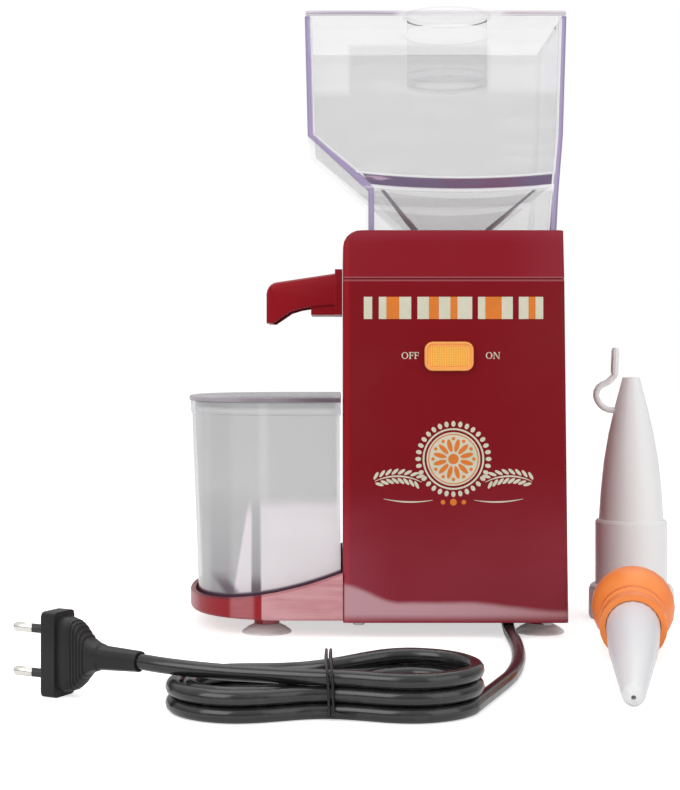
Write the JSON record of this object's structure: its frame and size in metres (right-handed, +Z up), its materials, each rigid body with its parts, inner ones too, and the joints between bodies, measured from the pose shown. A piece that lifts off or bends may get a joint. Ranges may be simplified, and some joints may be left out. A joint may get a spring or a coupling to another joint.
{
  "type": "nut butter machine",
  "caption": "Small electric grinder: clear funnelled hopper with a lid port on a red housing, spout over a lidded cup on its tray, suction feet, lead and plug, oil nozzle and dropper.",
  "frame": {"origin": "on the floor, under the middle of the object's box, the mains lead and its plug left out", "axes": "+X from the cup towards the housing and the nozzle, +Y from the label side to the back, +Z up"},
  "size_m": [0.3188, 0.3223, 0.326],
  "materials": {
    "red_plastic": "glossy crimson moulded plastic",
    "clear_plastic": "clear plastic with lilac edges",
    "yellow_plastic": "satin yellow plastic",
    "milky_plastic": "milky flexible plastic",
    "orange_rubber": "satin orange rubber",
    "foot_rubber": "soft grey rubber",
    "black_plastic": "fine matt black plastic",
    "cord_jacket": "matt charcoal jacket",
    "nickel": "nickel plated pins with black sleeves",
    "steel": "machined steel",
    "cast_alloy": "cast alloy",
    "dark_steel": "dark steel",
    "brass": "turned brass",
    "nylon": "natural nylon"
  },
  "bodies": {
    "housing": {"body_shell": "red_plastic", "base_plate": "red_plastic", "top_cover": "red_plastic", "cup_tray": "red_plastic", "tray_foot_front": "foot_rubber", "tray_foot_back": "foot_rubber", "housing_foot_front": "foot_rubber", "housing_foot_back": "foot_rubber", "base_screw_1": "steel", "base_screw_2": "steel", "base_screw_3": "steel", "base_screw_4": "steel", "grinding_chamber": "cast_alloy", "burr_ring": "dark_steel", "shaft_bush_upper": "brass", "shaft_bush_lower": "brass", "gearbox_plate": "steel", "motor_can": "dark_steel", "motor_end_cap": "black_plastic", "motor_bearing_top": "steel", "motor_bearing_bottom": "steel", "switch_body": "black_plastic", "cord_boot": "black_plastic", "cord_lead": "cord_jacket", "cord_hank": "cord_jacket", "cord_tail": "cord_jacket", "cord_tie": "black_plastic", "plug_body": "black_plastic", "plug_pin_upper": "nickel", "plug_pin_lower": "nickel"},
    "hopper": {"hopper": "clear_plastic"},
    "hopper_lid": {"hopper_lid": "clear_plastic"},
    "grinder": {"grinding_cone": "steel", "drive_shaft": "steel", "drive_gear": "nylon"},
    "motor": {"motor_rotor": "dark_steel", "motor_pinion": "brass", "motor_fan": "nylon"},
    "spout": {"spout": "red_plastic"},
    "switch": {"switch_button": "yellow_plastic"},
    "cup": {"cup": "clear_plastic"},
    "cup_lid": {"cup_lid": "clear_plastic"},
    "nozzle": {"oil_nozzle": "milky_plastic"},
    "dropper": {"dropper_tube": "milky_plastic"},
    "bulb": {"dropper_bulb": "orange_rubber"}
  },
  "joints": [
    {"name": "hopper_lift", "type": "slide", "parent": "housing", "child": "hopper", "axis": [0, 0, 1], "range_m": [0, 0.045]},
    {"name": "hopper_lid_lift", "type": "slide", "parent": "hopper", "child": "hopper_lid", "axis": [0, 0, 1], "range_m": [0, 0.05]},
    {"name": "grinder_spin", "type": "hinge", "parent": "housing", "child": "grinder", "pos_m": [0.00813, 0.07956, 0.15], "axis": [0, 0, 1], "continuous": true},
    {"name": "motor_spin", "type": "hinge", "parent": "housing", "child": "motor", "pos_m": [0.00813, 0.10956, 0.15], "axis": [0, 0, 1], "continuous": true},
    {"name": "spout_pull", "type": "slide", "parent": "housing", "child": "spout", "axis": [-1, 0, 0], "range_m": [0, 0.03]},
    {"name": "switch_slide", "type": "slide", "parent": "housing", "child": "switch", "axis": [1, 0, 0], "range_m": [0, 0.004]},
    {"name": "cup_lift", "type": "slide", "parent": "housing", "child": "cup", "axis": [0, 0, 1], "range_m": [0, 0.016]},
    {"name": "cup_lid_lift", "type": "slide", "parent": "cup", "child": "cup_lid", "axis": [0, 0, 1], "range_m": [0, 0.016]},
    {"name": "nozzle_lift", "type": "slide", "parent": "housing", "child": "nozzle", "axis": [0, 0, 1], "range_m": [0, 0.1]},
    {"name": "dropper_lift", "type": "slide", "parent": "housing", "child": "dropper", "axis": [0, 0, 1], "range_m": [0, 0.1]},
    {"name": "bulb_pull", "type": "slide", "parent": "dropper", "child": "bulb", "axis": [0.1776, 0.9775, 0.1136], "range_m": [0, 0.02]}
  ],
  "couplings": [
    {"joint": "motor_spin", "follows": "grinder_spin", "ratio": -3}
  ]
}
